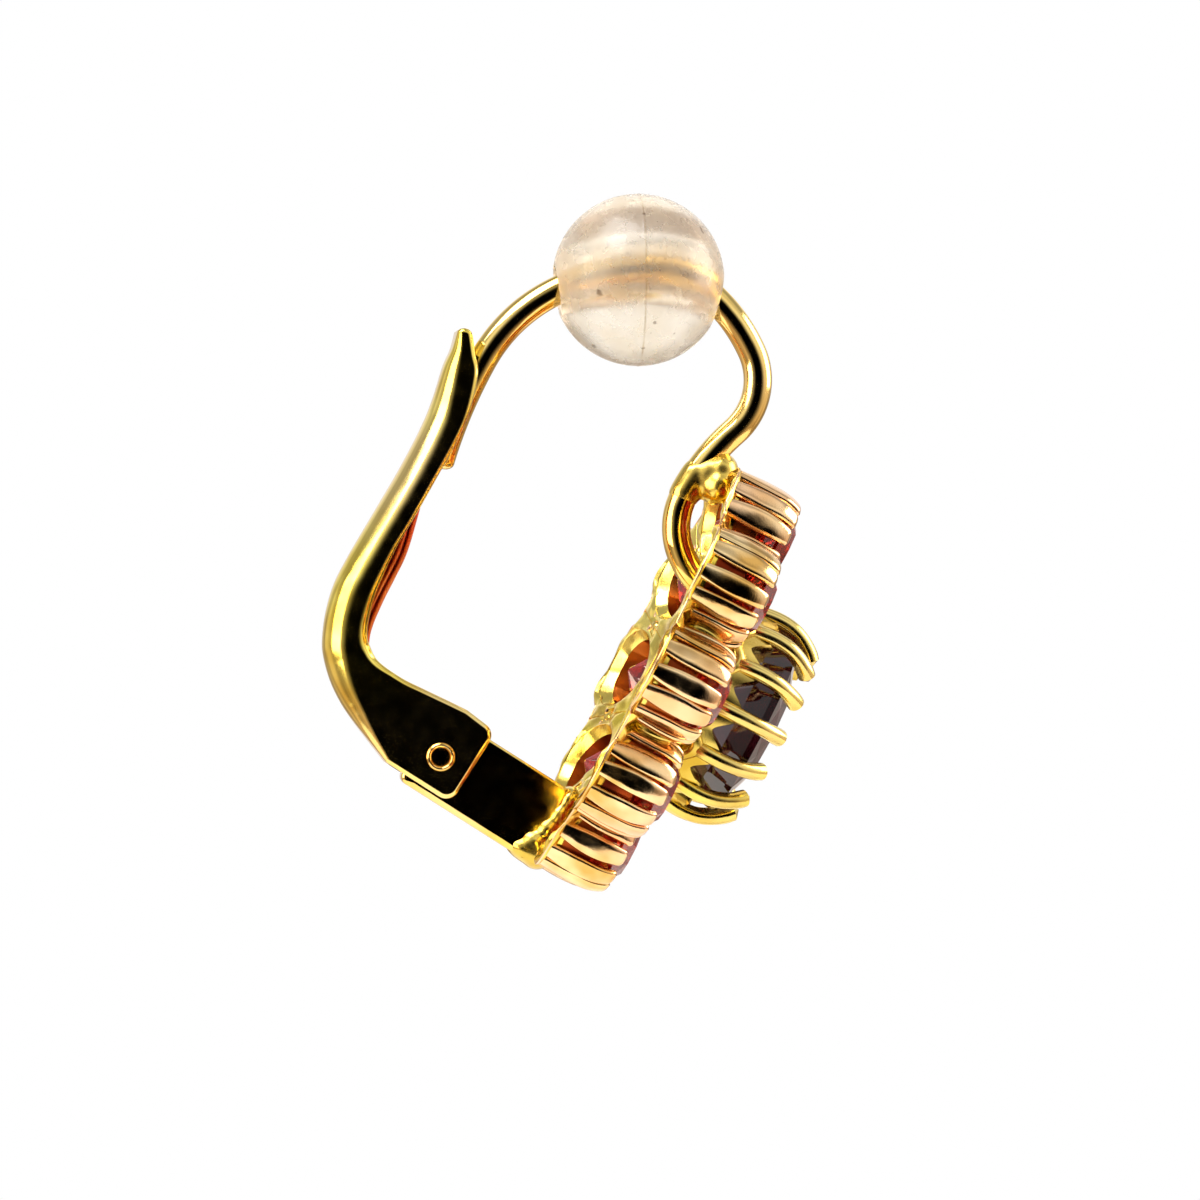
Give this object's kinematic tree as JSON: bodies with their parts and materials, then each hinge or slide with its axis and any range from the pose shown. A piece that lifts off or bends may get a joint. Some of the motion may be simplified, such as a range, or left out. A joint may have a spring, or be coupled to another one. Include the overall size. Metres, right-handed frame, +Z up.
{
  "type": "leverback earring with clear bead",
  "caption": "Gold leverback earring with a round cluster of faceted garnets, hinged lever and leaf spring, hanging from a clear bead on its ear wire.",
  "frame": {"origin": "crest of the ear wire's centreline, where the earring hangs", "axes": "+Z up as it hangs, +X to the side that the cluster faces, +Y across the lever"},
  "size_m": [0.0171, 0.0162, 0.0243],
  "materials": {
    "gold": "polished",
    "spring_gold": "polished",
    "garnet_dark": "faceted",
    "garnet_red": "faceted",
    "clear_plastic": "polished"
  },
  "bodies": {
    "root": {"setting": "gold", "hinge_tongue": "gold", "centre_stone": "garnet_dark", "outer_stone_01": "garnet_red", "outer_stone_02": "garnet_red", "outer_stone_03": "garnet_red", "outer_stone_04": "garnet_red", "outer_stone_05": "garnet_red", "outer_stone_06": "garnet_red", "outer_stone_07": "garnet_red", "outer_stone_08": "garnet_red", "outer_stone_09": "garnet_red", "outer_stone_10": "garnet_red", "clear_bead": "clear_plastic"},
    "lever": {"lever": "gold", "leaf_spring": "spring_gold", "pivot_rivet": "gold"}
  },
  "joints": [
    {"name": "lever_hinge", "type": "hinge", "parent": "root", "child": "lever", "pos_m": [-0.00725, 0, -0.01687], "axis": [0, -1, 0], "range_deg": [0, 70]}
  ]
}
